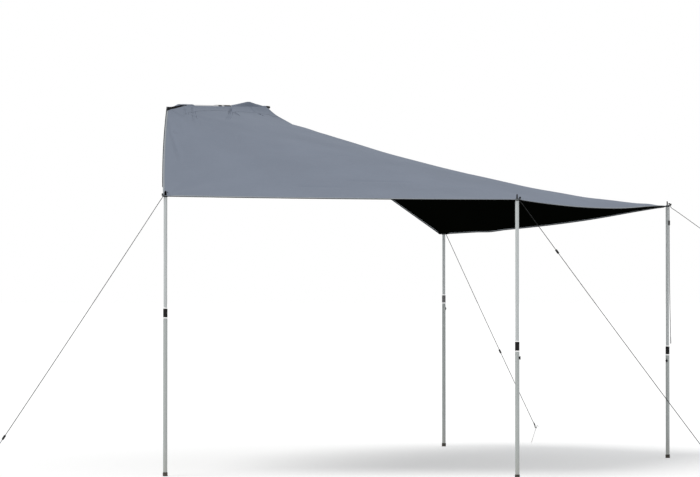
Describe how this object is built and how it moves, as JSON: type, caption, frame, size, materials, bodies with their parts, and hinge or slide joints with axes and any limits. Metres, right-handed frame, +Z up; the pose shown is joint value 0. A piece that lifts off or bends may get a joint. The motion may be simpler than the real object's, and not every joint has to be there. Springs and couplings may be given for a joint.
{
  "type": "vehicle side awning",
  "caption": "Open-sided cloth awning for a vehicle: a roof-side rod and four telescopic poles carry a taut six-sided canopy with guy ropes and pegs.",
  "frame": {"origin": "on the ground, in the middle of the awning between its hooks and its front corners, without ropes and pegs", "axes": "+X away from the vehicle, +Y along its side, +Z up"},
  "size_m": [6.0011, 7.8002, 3.0928],
  "materials": {
    "cloth_grey": "woven, matte",
    "webbing_black": "woven, matte",
    "aluminium": "satin anodised",
    "steel": "zinc plated",
    "plastic_black": "moulded, fine grain",
    "rubber_black": "matte",
    "rope_grey": "braided"
  },
  "bodies": {
    "awning": {"canopy": "cloth_grey", "hem_sleeve": "cloth_grey", "spreader_rod": "aluminium", "rod_cap_near": "plastic_black", "rod_cap_far": "plastic_black", "roof_patch_near": "webbing_black", "roof_patch_far": "webbing_black", "corner_patch_1": "webbing_black", "eyelet_1": "steel", "guy_link_1": "plastic_black", "guy_rope_1": "rope_grey", "peg_1": "steel", "corner_patch_2": "webbing_black", "eyelet_2": "steel", "guy_link_2": "plastic_black", "guy_rope_2": "rope_grey", "peg_2": "steel", "corner_patch_3": "webbing_black", "eyelet_3": "steel", "guy_link_3": "plastic_black", "guy_rope_3": "rope_grey", "peg_3": "steel", "corner_patch_4": "webbing_black", "eyelet_4": "steel", "guy_link_4": "plastic_black", "guy_rope_4": "rope_grey", "peg_4": "steel", "spare_rope": "rope_grey"},
    "pole_1": {"upper_tube_1": "aluminium", "pole_tip_1": "plastic_black"},
    "pole_foot_1": {"lower_tube_1": "aluminium", "collar_1": "plastic_black", "foot_1": "rubber_black"},
    "clamp_1": {"clamp_screw_1": "plastic_black"},
    "runner_1": {"slider_1": "plastic_black"},
    "pole_2": {"upper_tube_2": "aluminium", "pole_tip_2": "plastic_black"},
    "pole_foot_2": {"lower_tube_2": "aluminium", "collar_2": "plastic_black", "foot_2": "rubber_black"},
    "clamp_2": {"clamp_screw_2": "plastic_black"},
    "runner_2": {"slider_2": "plastic_black"},
    "pole_3": {"upper_tube_3": "aluminium", "pole_tip_3": "plastic_black"},
    "pole_foot_3": {"lower_tube_3": "aluminium", "collar_3": "plastic_black", "foot_3": "rubber_black"},
    "clamp_3": {"clamp_screw_3": "plastic_black"},
    "runner_3": {"slider_3": "plastic_black"},
    "pole_4": {"upper_tube_4": "aluminium", "pole_tip_4": "plastic_black"},
    "pole_foot_4": {"lower_tube_4": "aluminium", "collar_4": "plastic_black", "foot_4": "rubber_black"},
    "clamp_4": {"clamp_screw_4": "plastic_black"},
    "runner_4": {"slider_4": "plastic_black"},
    "spare_runner": {"spare_slider": "plastic_black"},
    "hook_near": {"roof_hook_near": "plastic_black"},
    "hook_middle": {"roof_hook_middle": "plastic_black"},
    "hook_far": {"roof_hook_far": "plastic_black"}
  },
  "joints": [
    {"name": "spike_draw_1", "type": "slide", "parent": "awning", "child": "pole_1", "axis": [0, 0, 1], "range_m": [-0.07, 0]},
    {"name": "telescope_1", "type": "slide", "parent": "pole_1", "child": "pole_foot_1", "axis": [0, 0, 1], "range_m": [-0.12, 0.85]},
    {"name": "clamp_turn_1", "type": "hinge", "parent": "pole_foot_1", "child": "clamp_1", "pos_m": [-0.78572, -2.56675, 1.175], "axis": [-0.1736, 0.9848, 0], "range_deg": [0, 360]},
    {"name": "slider_slide_1", "type": "slide", "parent": "awning", "child": "runner_1", "axis": [-0.2266, -0.6064, -0.7622], "range_m": [-0.15, 0.15]},
    {"name": "spike_draw_2", "type": "slide", "parent": "awning", "child": "pole_2", "axis": [0, 0, 1], "range_m": [-0.07, 0]},
    {"name": "telescope_2", "type": "slide", "parent": "pole_2", "child": "pole_foot_2", "axis": [0, 0, 1], "range_m": [-0.12, 0.55]},
    {"name": "clamp_turn_2", "type": "hinge", "parent": "pole_foot_2", "child": "clamp_2", "pos_m": [-0.7746, 2.59729, 1.277], "axis": [0.5, 0.866, 0], "range_deg": [0, 360]},
    {"name": "slider_slide_2", "type": "slide", "parent": "awning", "child": "runner_2", "axis": [0.2381, 0.4479, -0.8618], "range_m": [-0.15, 0.15]},
    {"name": "spike_draw_3", "type": "slide", "parent": "awning", "child": "pole_3", "axis": [0, 0, 1], "range_m": [-0.07, 0]},
    {"name": "telescope_3", "type": "slide", "parent": "pole_3", "child": "pole_foot_3", "axis": [0, 0, 1], "range_m": [-0.12, 0.75]},
    {"name": "clamp_turn_3", "type": "hinge", "parent": "pole_foot_3", "child": "clamp_3", "pos_m": [1.79245, -1.63042, 0.922], "axis": [0.9877, 0.1564, 0], "range_deg": [0, 360]},
    {"name": "slider_slide_3", "type": "slide", "parent": "awning", "child": "runner_3", "axis": [0.6584, -0.2398, -0.7134], "range_m": [-0.15, 0.15]},
    {"name": "spike_draw_4", "type": "slide", "parent": "awning", "child": "pole_4", "axis": [0, 0, 1], "range_m": [-0.07, 0]},
    {"name": "telescope_4", "type": "slide", "parent": "pole_4", "child": "pole_foot_4", "axis": [0, 0, 1], "range_m": [-0.12, 0.67]},
    {"name": "clamp_turn_4", "type": "hinge", "parent": "pole_foot_4", "child": "clamp_4", "pos_m": [1.775, 1.61654, 0.837], "axis": [-0.0698, -0.9976, 0], "range_deg": [0, 360]},
    {"name": "slider_slide_4", "type": "slide", "parent": "awning", "child": "runner_4", "axis": [0.6646, 0.4985, -0.5566], "range_m": [-0.15, 0.15]},
    {"name": "spare_slider_slide", "type": "slide", "parent": "awning", "child": "spare_runner", "axis": [0, 0, -1], "range_m": [-0.08, 0.12]},
    {"name": "hook_swing_near", "type": "hinge", "parent": "awning", "child": "hook_near", "pos_m": [-1.74285, 0.02136, 3.03967], "axis": [0, 0.999, 0.0455], "range_deg": [-25, 25]},
    {"name": "hook_swing_middle", "type": "hinge", "parent": "awning", "child": "hook_middle", "pos_m": [-1.74285, 0.1513, 3.04559], "axis": [0, 0.999, 0.0455], "range_deg": [-25, 25]},
    {"name": "hook_swing_far", "type": "hinge", "parent": "awning", "child": "hook_far", "pos_m": [-1.74285, 0.90199, 3.07975], "axis": [0, 0.999, 0.0455], "range_deg": [-60, 60]}
  ]
}
